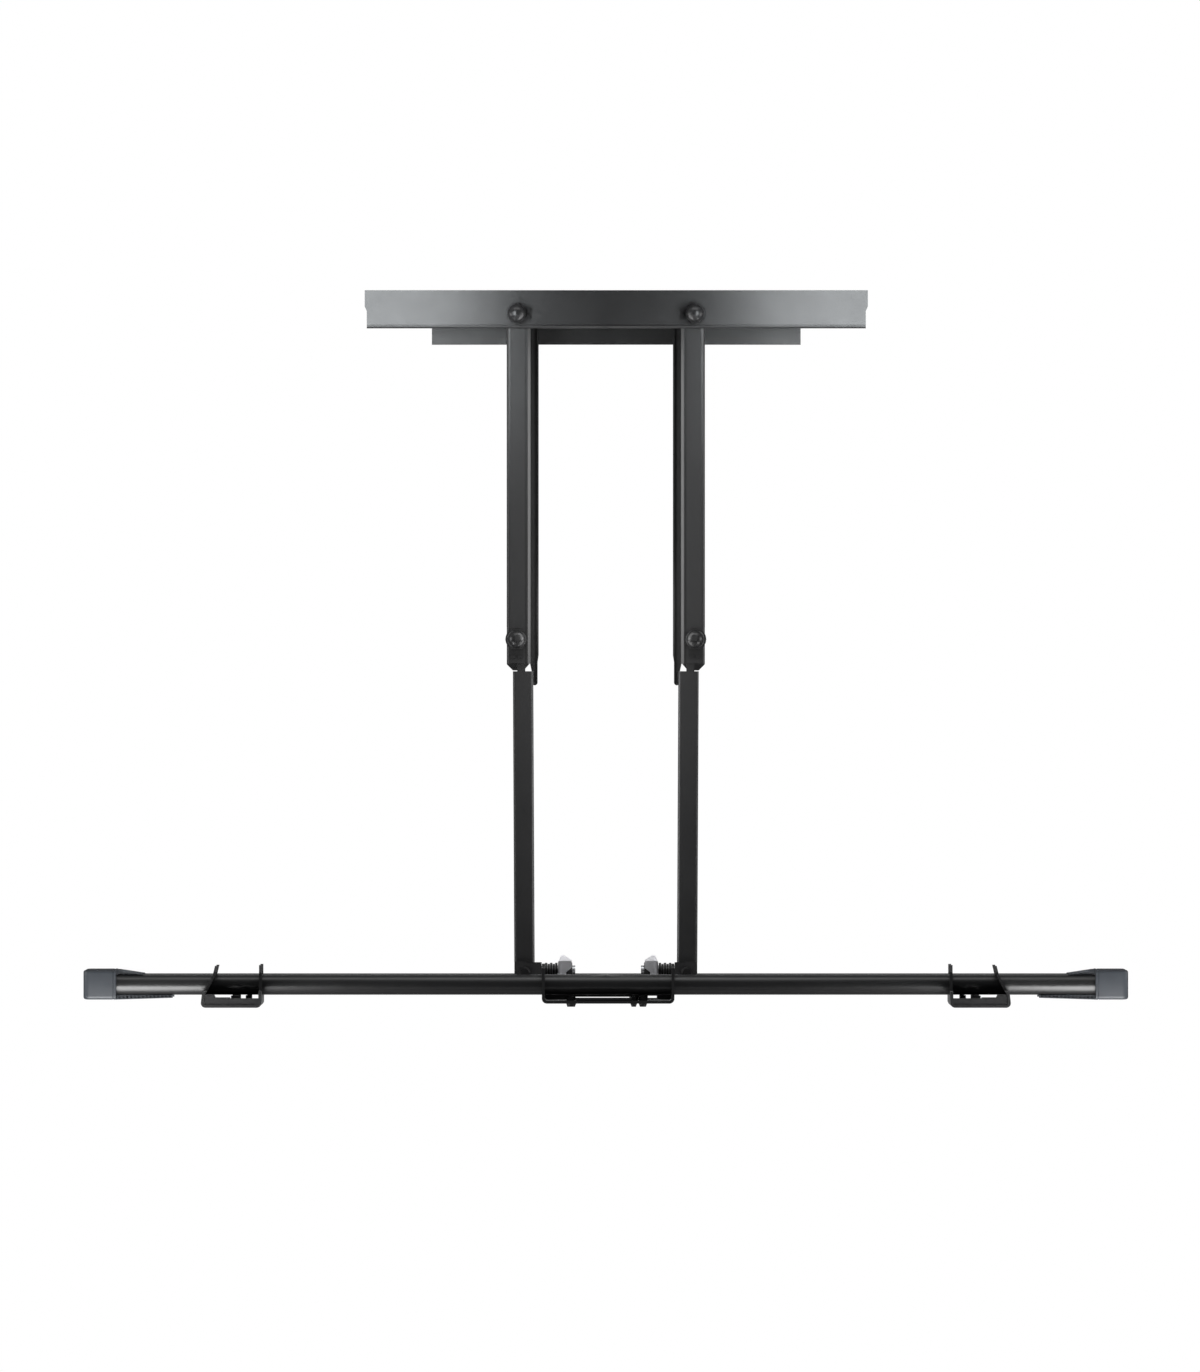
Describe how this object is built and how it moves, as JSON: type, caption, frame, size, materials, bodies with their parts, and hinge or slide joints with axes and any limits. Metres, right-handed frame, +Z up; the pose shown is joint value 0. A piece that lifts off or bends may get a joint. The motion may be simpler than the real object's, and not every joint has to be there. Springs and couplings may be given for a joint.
{
  "type": "dual-arm full-motion television wall mount",
  "caption": "Wall plate with paired folding steel arms carrying a tilting centre yoke, cross tubes and sliding slotted rails that hang a flat screen",
  "frame": {"origin": "centre of the wall plate's back face, which is the centre of its lag-bolt slots, on the wall", "axes": "+X to the right seen from the room's top view, +Y into the wall, +Z up; the screen faces -Y"},
  "size_m": [0.898, 0.6166, 0.43],
  "materials": {
    "wall_coat": "fine satin black powder coat",
    "arm_coat": "fine satin black powder coat",
    "head_coat": "fine satin black powder coat",
    "tube_coat": "smooth satin black powder coat",
    "nut_black": "black-plated steel with a soft gloss",
    "bolt_black": "black-oxide steel",
    "stud_zinc": "bright zinc-plated steel",
    "cap_plastic": "moulded black plastic with fine grain",
    "lever_grey": "light grey satin paint on a cast lever",
    "bush_nylon": "natural nylon",
    "washer_black": "black acetal"
  },
  "bodies": {
    "wall": {"wall_plate": "wall_coat", "wall_pivot_bolts": "bolt_black", "wall_dome_nuts": "nut_black", "wall_tab_washers": "bolt_black", "wall_thrust_washers": "washer_black"},
    "wrists": {"left_wrist_bracket": "head_coat", "left_wrist_bolt": "bolt_black", "left_wrist_washers": "washer_black", "left_tilt_stud": "stud_zinc", "left_tilt_nut": "nut_black", "right_wrist_bracket": "head_coat", "right_wrist_bolt": "bolt_black", "right_wrist_washers": "washer_black", "right_tilt_stud": "stud_zinc", "right_tilt_nut": "nut_black"},
    "head": {"yoke": "head_coat", "yoke_screws": "bolt_black", "yoke_nuts": "nut_black", "left_friction_washers": "washer_black", "right_friction_washers": "washer_black", "upper_tube": "tube_coat", "lower_tube": "tube_coat", "upper_left_cap": "cap_plastic", "upper_right_cap": "cap_plastic", "lower_left_cap": "cap_plastic", "lower_right_cap": "cap_plastic"},
    "left_lever": {"left_tilt_lever": "lever_grey"},
    "right_lever": {"right_tilt_lever": "lever_grey"},
    "left_rail_set": {"left_rail": "head_coat", "left_lock_screws": "bolt_black"},
    "right_rail_set": {"right_rail": "head_coat", "right_lock_screws": "bolt_black"},
    "left_second": {"left_second_arm": "arm_coat", "left_elbow_bushes": "bush_nylon", "left_wrist_bush": "bush_nylon"},
    "right_second": {"right_second_arm": "arm_coat", "right_elbow_bushes": "bush_nylon"},
    "left_first": {"left_first_arm": "arm_coat", "left_first_bushes": "bush_nylon", "left_elbow_bolt": "bolt_black", "left_elbow_nut": "nut_black", "left_elbow_tab_washer": "bolt_black", "left_elbow_thrust_washers": "washer_black"},
    "right_first": {"right_first_arm": "arm_coat", "right_first_bushes": "bush_nylon", "right_elbow_bolt": "bolt_black", "right_elbow_nut": "nut_black", "right_elbow_tab_washer": "bolt_black", "right_elbow_thrust_washers": "washer_black"}
  },
  "joints": [
    {"name": "left_shoulder", "type": "hinge", "parent": "wall", "child": "left_first", "pos_m": [-0.0858, -0.02, 0], "axis": [0, 0, 1], "range_deg": [-84, 0]},
    {"name": "left_elbow", "type": "hinge", "parent": "left_first", "child": "left_second", "pos_m": [-0.0858, -0.3003, 0], "axis": [0, 0, 1], "range_deg": [0, 167.5]},
    {"name": "left_wrist", "type": "hinge", "parent": "left_second", "child": "wrists", "pos_m": [-0.079, -0.5874, 0], "axis": [0, 0, 1], "range_deg": [-83.5, 0]},
    {"name": "right_shoulder", "type": "hinge", "parent": "wall", "child": "right_first", "pos_m": [0.0678, -0.02, 0], "axis": [0, 0, 1], "range_deg": [0, 84.5]},
    {"name": "right_elbow", "type": "hinge", "parent": "right_first", "child": "right_second", "pos_m": [0.0678, -0.3003, 0], "axis": [0, 0, 1], "range_deg": [-167.5, 0]},
    {"name": "tilt", "type": "hinge", "parent": "wrists", "child": "head", "pos_m": [-0.0065, -0.5853, 0], "axis": [1, 0, 0], "range_deg": [-5, 15]},
    {"name": "left_lever_turn", "type": "hinge", "parent": "head", "child": "left_lever", "pos_m": [-0.046, -0.5853, 0], "axis": [1, 0, 0], "range_deg": [-60, 0]},
    {"name": "right_lever_turn", "type": "hinge", "parent": "head", "child": "right_lever", "pos_m": [0.032, -0.5853, 0], "axis": [1, 0, 0], "range_deg": [-60, 0]},
    {"name": "left_rail_slide", "type": "slide", "parent": "head", "child": "left_rail_set", "axis": [1, 0, 0], "range_m": [-0.022, 0.19]},
    {"name": "right_rail_slide", "type": "slide", "parent": "head", "child": "right_rail_set", "axis": [-1, 0, 0], "range_m": [-0.022, 0.19]}
  ],
  "couplings": [
    {"joint": "left_elbow", "follows": "left_shoulder", "ratio": -1.982},
    {"joint": "left_wrist", "follows": "left_shoulder", "ratio": 0.982},
    {"joint": "right_shoulder", "follows": "left_shoulder", "ratio": -1},
    {"joint": "right_elbow", "follows": "left_shoulder", "ratio": 1.982}
  ]
}
